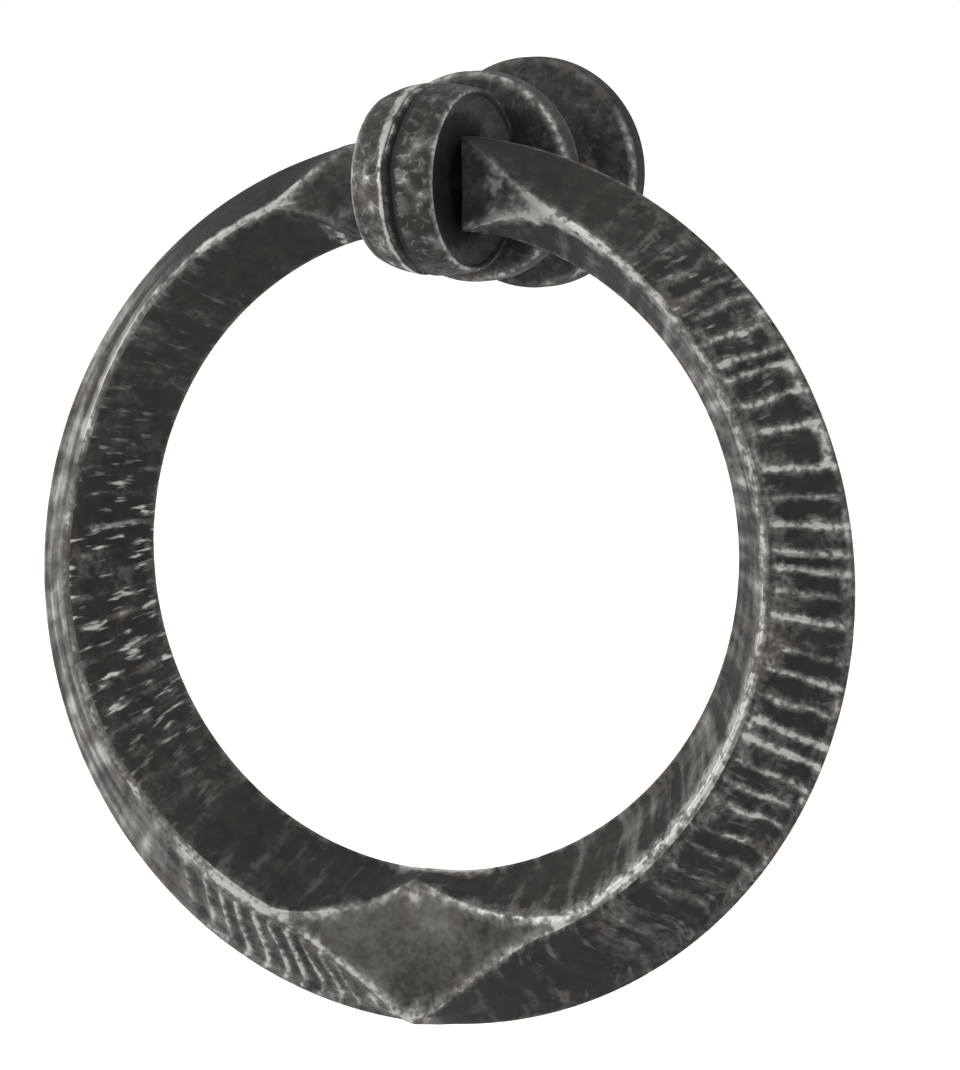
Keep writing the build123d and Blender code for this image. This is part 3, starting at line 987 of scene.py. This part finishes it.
def head_marks(post, place):
    """Marks of the head: rims and the groove's left lip rubbed bright, painted shadow in the groove, and in
    the mouths painted shade deep down with painted light on the walls near the rims.
    """
    x, y, z = place
    half = post.sizes.head_half_length
    head_y, from_axis = post.in_head(y, z)
    blotch = rough("cast blotch", place)
    front = smooth_step(0.5 - head_y / (5 * MM))
    from_left_rim = math.hypot(from_axis - post.left_rim, x + half)
    from_right_rim = math.hypot(from_axis - post.right_rim + 0.15 * MM, x - half)
    marks = dict.fromkeys(MARKS, 0.0)
    marks["wear"] = max(
        0.95 * (1 + 0.4 * blotch) * near(from_left_rim, 0.6 * MM),
        0.85 * front * (1 + 0.3 * blotch) * near(from_right_rim, 0.36 * MM),
    )
    if from_axis > post.rim(x) - 0.3 * MM:
        barrel_marks(marks, post, place, head_y, blotch)
    elif abs(x) < half - 0.3 * MM:
        # Inside a mouth: painted shade that deepens towards the floor, and painted light on the wall near the
        # rim
        marks["dent"] = 2.5 * smooth_step((half - 1.0 * MM - abs(x)) / (1.4 * MM))
        marks["pale"] = 1.2 * rise(abs(x), 1.7 * MM, 0.6 * MM)
    return marks


def barrel_marks(marks, post, place, head_y, blotch):
    """Adds the marks of the head's outside: the groove's worn left lip, mottling that fades upwards, a
    painted shadow in and beside the groove, and a painted highlight line near the top where a facet's edge
    catches the light.
    """
    x, _, z = place
    groove_width = post.sizes.groove_width
    x -= groove_wander(head_y, z)
    upper = smooth_step(z / (7 * MM) - 0.1)
    ends_low = 0.35 + 0.65 * smooth_step((z + 6.5 * MM) / (3 * MM))
    # Painted shadow of the groove, wider than the groove itself
    groove_shadow = near(abs(x - 0.25 * MM), 0.9 * groove_width)
    from_lip = abs(x + groove_width / 2 + 0.25 * MM)
    # Painted highlight: a bright line near the head's top where the edge of a facet, missing from the mesh,
    # catches the light
    from_highlight_line = abs(x - 1.9 * MM - 0.2 * MM * rough("highlight line", place))
    top = near(abs(z - 6.5 * MM), 1.6 * MM)
    marks["wear"] = max(
        marks["wear"],
        1.3 * (1 + 0.8 * blotch) * near(from_lip, (0.32 + 0.5 * upper) * MM),
        0.95 * max(0.0, blotch) * (1 - groove_shadow) * (1 - 0.5 * upper) * ends_low,
        0.4 * (1 + 0.8 * blotch) * near(from_highlight_line, 0.5 * MM) * top,
    )
    marks["dent"] = 2.5 * groove_shadow
    marks["pale"] = (0.7 if x < 0 else 0.3) * (1 - 0.8 * upper) * (1 + 1.0 * blotch) * (1 - groove_shadow)
    marks["dash"] = 0.42 * (1 - groove_shadow) * (1 - 0.6 * upper)


class RINGPULL_OT_post(bpy.types.Operator):
    """Cast the knob post: foot, neck, collar and barrel-shaped head, with its cross bore and threaded hole"""

    bl_idname = "ring_pull.post"
    bl_label = "Knob post"

    def execute(self, context):
        sizes = context.scene.ring_pull_post
        forward = pivot_forward()
        post = Post(sizes, forward)
        shaft = helper_object("shaft", shaft_shape(post))
        head = helper_object("head", head_shape(post))
        cutter = helper_object("bore", bore_shape(sizes, forward))
        for operation, other in (("UNION", head), ("DIFFERENCE", cutter)):
            step = shaft.modifiers.new(operation.lower(), "BOOLEAN")
            step.operation = operation
            step.solver = "EXACT"
            step.object = other
        joined = shaft.evaluated_get(context.evaluated_depsgraph_get())
        mesh = bpy.data.meshes.new_from_object(joined)
        for helper in (shaft, head, cutter):
            bpy.data.objects.remove(helper)
        shape = bmesh.new()
        shape.from_mesh(mesh)
        bmesh.ops.remove_doubles(shape, verts=shape.verts[:], dist=0.002 * MM)
        layers = add_mark_layers(shape)
        for vertex in shape.verts:
            on_shaft = vertex.co.y > -post.collar_front - 0.05 * MM
            marks_at = shaft_marks if on_shaft else head_marks
            set_marks(vertex, layers, marks_at(post, vertex.co))
        mesh.name = "cast_knob_post"
        piece = link_piece("cast_knob_post", shape, mesh)
        piece.data.materials.clear()
        piece.data.materials.append(post_iron(context.scene.ring_pull_finish))
        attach(piece, "post")
        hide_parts("knob_post")
        return {"FINISHED"}


def add_node(tree, kind, inputs=None, **settings):
    """Adds a node, sets it up, and fills or links its inputs."""
    made = tree.nodes.new(kind)
    for name, value in settings.items():
        setattr(made, name, value)
    for name, value in (inputs or {}).items():
        if isinstance(value, bpy.types.NodeSocket):
            tree.links.new(value, made.inputs[name])
        else:
            made.inputs[name].default_value = value
    return made


def maths(tree, operation, first, second=0.0, third=0.0):
    """Result of a Math node."""
    return add_node(tree, "ShaderNodeMath", {0: first, 1: second, 2: third}, operation=operation).outputs[0]


def ramp(tree, value, low, high, least=0.0, most=1.0):
    """A smooth step of a value from one level to another."""
    step = add_node(
        tree, "ShaderNodeMapRange",
        {"Value": value, "From Min": low, "From Max": high, "To Min": least, "To Max": most},
        interpolation_type="SMOOTHSTEP",
    )
    return step.outputs["Result"]


def blend_colours(tree, amount, first, second):
    """Mixes two colours. The node's colour sockets share their names with others, so they go by number."""
    mix = add_node(
        tree, "ShaderNodeMix", {0: amount, 6: first, 7: second}, data_type="RGBA", blend_type="MIX",
    )
    return mix.outputs[2]


def scaled(tree, vector, scale):
    """A vector or colour times one number."""
    return add_node(tree, "ShaderNodeVectorMath", {0: vector, "Scale": scale}, operation="SCALE").outputs[0]


def patchy(tree, place, scale, detail=4.0, roughness=0.6):
    """Soft noise over the surface."""
    made = add_node(
        tree, "ShaderNodeTexNoise",
        {"Vector": place, "Scale": scale, "Detail": detail, "Roughness": roughness},
    )
    return made.outputs["Fac"]


def worn_iron_group():
    """Shader group for dark waxed iron: mottled, faintly brown, bright where it is rubbed or a highlight is
    painted, and darker in dents and where shade is painted.
    """
    group = bpy.data.node_groups.get("worn waxed iron")
    if group:
        return group
    group = bpy.data.node_groups.new("worn waxed iron", "ShaderNodeTree")
    sockets = group.interface
    sockets.new_socket("Place", in_out="INPUT", socket_type="NodeSocketVector")
    for name in ("Wear", "Pale", "Dent", "Strokes"):
        sockets.new_socket(name, in_out="INPUT", socket_type="NodeSocketFloat")
    for name in ("Dark", "Middle", "Bright", "Brown"):
        sockets.new_socket(name, in_out="INPUT", socket_type="NodeSocketColor")
    sockets.new_socket("Color", in_out="OUTPUT", socket_type="NodeSocketColor")
    for name in ("Worn", "Roughness", "Height"):
        sockets.new_socket(name, in_out="OUTPUT", socket_type="NodeSocketFloat")
    given = add_node(group, "NodeGroupInput").outputs
    millimetres = scaled(group, given["Place"], 1 / MM)
    patches = patchy(group, millimetres, 0.28, 3.0, 0.5)
    mottling = patchy(group, millimetres, 0.95, 1.5, 0.5)
    grain = patchy(group, millimetres, 2.3, 1.0, 0.5)

    # How much the wax is rubbed off: by wear, paleness and strokes, all broken up by chance, less in dents
    # and in painted shade; painted highlights and painted light come in with the wear and the paleness
    chance = maths(group, "MULTIPLY_ADD", grain, 0.5, maths(group, "MULTIPLY", mottling, 0.5))
    chance = ramp(group, chance, 0.3, 0.7)
    rubbed = maths(group, "MULTIPLY", given["Wear"], maths(group, "MULTIPLY_ADD", chance, 0.8, 0.5))
    pale = maths(group, "MULTIPLY", given["Pale"], maths(group, "MULTIPLY_ADD", chance, 0.03, 0.3))
    rubbed = maths(group, "ADD", rubbed, pale)
    rubbed = maths(group, "ADD", rubbed, given["Strokes"])
    rubbed = maths(group, "MULTIPLY_ADD", given["Dent"], -0.08, rubbed)
    rubbed = maths(group, "ADD", rubbed, maths(group, "MULTIPLY_ADD", chance, 0.16, -0.07))

    # Colours from the darkest up: wax, darker in dents and darkest in painted shade, then middle iron, old
    # rust and bare iron
    tone = ramp(group, given["Dent"], 0.0, 1.0, 1.1, 0.8)
    tone = maths(group, "MULTIPLY", tone, ramp(group, given["Dent"], 1.0, 3.0, 1.0, 0.4))
    tone = maths(group, "ADD", tone, maths(group, "MULTIPLY_ADD", mottling, 0.8, -0.4))
    dark = scaled(group, given["Dark"], tone)
    colour_now = blend_colours(group, ramp(group, rubbed, 0.02, 0.52), dark, given["Middle"])
    rusty = maths(group, "MULTIPLY", ramp(group, patches, 0.5, 0.68), ramp(group, rubbed, 0.08, 0.25))
    colour_now = blend_colours(group, maths(group, "MULTIPLY", rusty, 0.6), colour_now, given["Brown"])
    worn = ramp(group, rubbed, 0.36, 1.15)
    colour_now = blend_colours(group, worn, colour_now, given["Bright"])

    fine = maths(group, "MULTIPLY", grain, 0.4)
    height = maths(group, "ADD", maths(group, "MULTIPLY", mottling, 0.8), fine)
    add_node(
        group, "NodeGroupOutput",
        {
            "Color": colour_now, "Worn": worn,
            "Roughness": ramp(group, worn, 0.0, 1.0, 0.7, 0.45), "Height": height,
        },
    )
    return group


def waxed_iron(name, finish, strokes_of):
    """A material of worn waxed iron for one piece, with strokes of its own."""
    material = bpy.data.materials.new(name)
    material.use_nodes = True
    tree = material.node_tree
    shader = tree.nodes["Principled BSDF"]
    place = add_node(tree, "ShaderNodeTexCoord").outputs["Object"]
    marks = {}
    for mark in MARKS:
        marks[mark] = add_node(tree, "ShaderNodeAttribute", attribute_name=mark).outputs["Fac"]
    iron = add_node(tree, "ShaderNodeGroup", node_tree=worn_iron_group())
    tree.links.new(place, iron.inputs["Place"])
    for mark, socket in (("wear", "Wear"), ("pale", "Pale"), ("dent", "Dent")):
        tree.links.new(marks[mark], iron.inputs[socket])
    tree.links.new(strokes_of(tree, marks), iron.inputs["Strokes"])
    for socket in ("Dark", "Middle", "Bright", "Brown"):
        iron.inputs[socket].default_value = (*getattr(finish, socket.lower()), 1)
    bump = add_node(
        tree, "ShaderNodeBump", {"Height": iron.outputs["Height"], "Strength": 0.5, "Distance": 0.12 * MM},
    )
    tree.links.new(iron.outputs["Color"], shader.inputs["Base Color"])
    tree.links.new(iron.outputs["Roughness"], shader.inputs["Roughness"])
    tree.links.new(ramp(tree, iron.outputs["Worn"], 0, 1, 0.1, 0.55), shader.inputs["Metallic"])
    tree.links.new(bump.outputs["Normal"], shader.inputs["Normal"])
    shader.inputs["Specular IOR Level"].default_value = 0.15
    return material


def hammer_strokes(tree, marks):
    """Strokes of forging on the bar's own map: lengthwise on pale faces, dashes and hatching elsewhere."""
    bar_map = add_node(tree, "ShaderNodeUVMap", uv_map="bar").outputs["UV"]

    def stretched(along, across, detail):
        finer = (along, across, 1)
        place = add_node(tree, "ShaderNodeVectorMath", {0: bar_map, 1: finer}, operation="MULTIPLY")
        return patchy(tree, place.outputs[0], 1.0, detail, 0.5)

    lengthwise = maths(tree, "MULTIPLY", maths(tree, "SUBTRACT", stretched(10, 62, 1.5), 0.5), marks["pale"])
    hatching = maths(tree, "MULTIPLY", maths(tree, "SUBTRACT", stretched(58, 15, 2.0), 0.48), marks["hatch"])
    dashes = maths(tree, "MULTIPLY", ramp(tree, stretched(180, 54, 2.0), 0.54, 0.74), marks["dash"])
    strokes = maths(tree, "MULTIPLY_ADD", hatching, 2.5, maths(tree, "MULTIPLY", lengthwise, 1.5))
    return maths(tree, "MULTIPLY_ADD", dashes, 1.2, strokes)


def cast_veins(tree, marks):
    """Soft curled veins of wear on the casting, where a noise crosses its middle level."""
    millimetres = scaled(tree, add_node(tree, "ShaderNodeTexCoord").outputs["Object"], 1 / MM)
    wavy = patchy(tree, millimetres, 0.85, 1.0, 0.5)
    from_vein = maths(tree, "ABSOLUTE", maths(tree, "SUBTRACT", wavy, 0.5))
    veins = ramp(tree, from_vein, 0.0, 0.075, 1.0, 0.0)
    broken = ramp(tree, patchy(tree, millimetres, 1.4, 2.0, 0.5), 0.44, 0.62)
    return maths(tree, "MULTIPLY", maths(tree, "MULTIPLY", veins, broken), marks["dash"])


def ring_iron(finish):
    """Iron of the ring, with the strokes of its forging."""
    return waxed_iron("hammered ring iron", finish, hammer_strokes)


def post_iron(finish):
    """Iron of the post, with the veins of its wear."""
    return waxed_iron("cast post iron", finish, cast_veins)


def seen_plainly(tree):
    """1 where the camera or a reflection sees the surface, 0 where it only gives light."""
    seen = add_node(tree, "ShaderNodeLightPath").outputs
    direct = maths(tree, "MAXIMUM", seen["Is Camera Ray"], seen["Is Glossy Ray"])
    return maths(tree, "MAXIMUM", direct, seen["Is Transmission Ray"])


def pale_floor(finish):
    """Pale floor that shows white to the camera and in reflections, and keeps the shadow."""
    material = bpy.data.materials.new("pale floor")
    material.use_nodes = True
    tree = material.node_tree
    tree.nodes.clear()
    matt = add_node(tree, "ShaderNodeBsdfDiffuse", {"Color": (*finish.floor, 1)}).outputs[0]
    light = maths(tree, "MULTIPLY", seen_plainly(tree), 0.8)
    glow = add_node(tree, "ShaderNodeEmission", {"Color": (1, 1, 1, 1), "Strength": light}).outputs[0]
    both = add_node(tree, "ShaderNodeAddShader", {0: matt, 1: glow}).outputs[0]
    add_node(tree, "ShaderNodeOutputMaterial", {"Surface": both})
    return material


def white_world():
    """Even pale light all round, white where the camera or a reflection sees it."""
    world = bpy.data.worlds.new("studio")
    world.use_nodes = True
    tree = world.node_tree
    tree.nodes.clear()
    strength = ramp(tree, seen_plainly(tree), 0.0, 1.0, 0.45, 1.0)
    glow = add_node(tree, "ShaderNodeBackground", {"Color": (1, 1, 1, 1), "Strength": strength}).outputs[0]
    add_node(tree, "ShaderNodeOutputWorld", {"Surface": glow})
    return world


def soft_lamp(name, place, size, watts):
    """A round soft lamp that shines at the middle of the part."""
    lamp = bpy.data.lights.new(name, "AREA")
    lamp.shape = "DISK"
    lamp.size = size
    lamp.energy = watts
    holder = bpy.data.objects.new(name, lamp)
    holder.location = place
    holder.rotation_euler = (Vector(LAMPS_AIM) - Vector(place)).to_track_quat("-Z", "Y").to_euler()
    bpy.context.scene.collection.objects.link(holder)


def photo_camera():
    """The camera at the photograph's viewing angle."""
    azimuth = math.radians(CAMERA_AZIMUTH)
    elevation = math.radians(CAMERA_ELEVATION)
    towards = Vector((
        math.sin(azimuth) * math.cos(elevation),
        -math.cos(azimuth) * math.cos(elevation),
        math.sin(elevation),
    ))
    lens = bpy.data.cameras.new("camera")
    lens.sensor_fit = "HORIZONTAL"
    lens.sensor_width = SENSOR_WIDTH
    lens.lens = SENSOR_WIDTH * FOCAL_PIXELS / IMAGE_WIDTH
    lens.clip_start = 0.01
    lens.clip_end = 50.0
    camera = bpy.data.objects.new("camera", lens)
    camera.location = Vector(CAMERA_TARGET) * MM + towards * CAMERA_DISTANCE
    camera.rotation_euler = (-towards).to_track_quat("-Z", "Y").to_euler()
    return camera


class RINGPULL_OT_stage(bpy.types.Operator):
    """Set up the pale studio: floor, soft lamps, white surroundings and the camera"""

    bl_idname = "ring_pull.stage"
    bl_label = "Studio"

    def execute(self, context):
        scene = context.scene
        lowest = cad_box[0][2]
        floor_shape = bmesh.new()
        bmesh.ops.create_grid(floor_shape, x_segments=8, y_segments=8, size=FLOOR_HALF_WIDTH)
        bmesh.ops.translate(floor_shape, verts=floor_shape.verts[:], vec=(0, 0, lowest - FLOOR_BELOW))
        floor = helper_object("studio_floor", floor_shape)
        floor.data.materials.append(pale_floor(scene.ring_pull_finish))
        scene.world = white_world()
        for lamp in LAMPS:
            soft_lamp(*lamp)
        camera = photo_camera()
        scene.collection.objects.link(camera)
        scene.camera = camera
        scene.view_settings.view_transform = "Standard"
        return {"FINISHED"}


class RINGPULL_PT_panel(bpy.types.Panel):
    """Sizes, colours and pieces of the ring pull"""

    bl_label = "Ring pull"
    bl_idname = "RINGPULL_PT_panel"
    bl_space_type = "VIEW_3D"
    bl_region_type = "UI"
    bl_category = "Ring pull"

    def draw(self, context):
        layout = self.layout
        for group, operator in (
            ("ring_pull_post", "ring_pull.post"),
            ("ring_pull_ring", "ring_pull.ring"),
            ("ring_pull_finish", "ring_pull.stage"),
        ):
            settings = getattr(context.scene, group)
            box = layout.box()
            for name in settings.bl_rna.properties.keys():
                if name not in ("rna_type", "name"):
                    box.prop(settings, name)
            box.operator(operator)


GROUPS = (
    ("ring_pull_ring", RingPullRing),
    ("ring_pull_post", RingPullPost),
    ("ring_pull_finish", RingPullFinish),
)
CLASSES = (RINGPULL_OT_post, RINGPULL_OT_ring, RINGPULL_OT_stage, RINGPULL_PT_panel)


def register():
    for name, group in GROUPS:
        bpy.utils.register_class(group)
        setattr(bpy.types.Scene, name, PointerProperty(type=group))
    for made in CLASSES:
        bpy.utils.register_class(made)


def unregister():
    for made in reversed(CLASSES):
        bpy.utils.unregister_class(made)
    for name, group in reversed(GROUPS):
        delattr(bpy.types.Scene, name)
        bpy.utils.unregister_class(group)


def main():
    """Makes every piece and the studio."""
    register()
    bpy.ops.ring_pull.post()
    bpy.ops.ring_pull.ring()
    bpy.ops.ring_pull.stage()


if __name__ == "__main__":
    main()
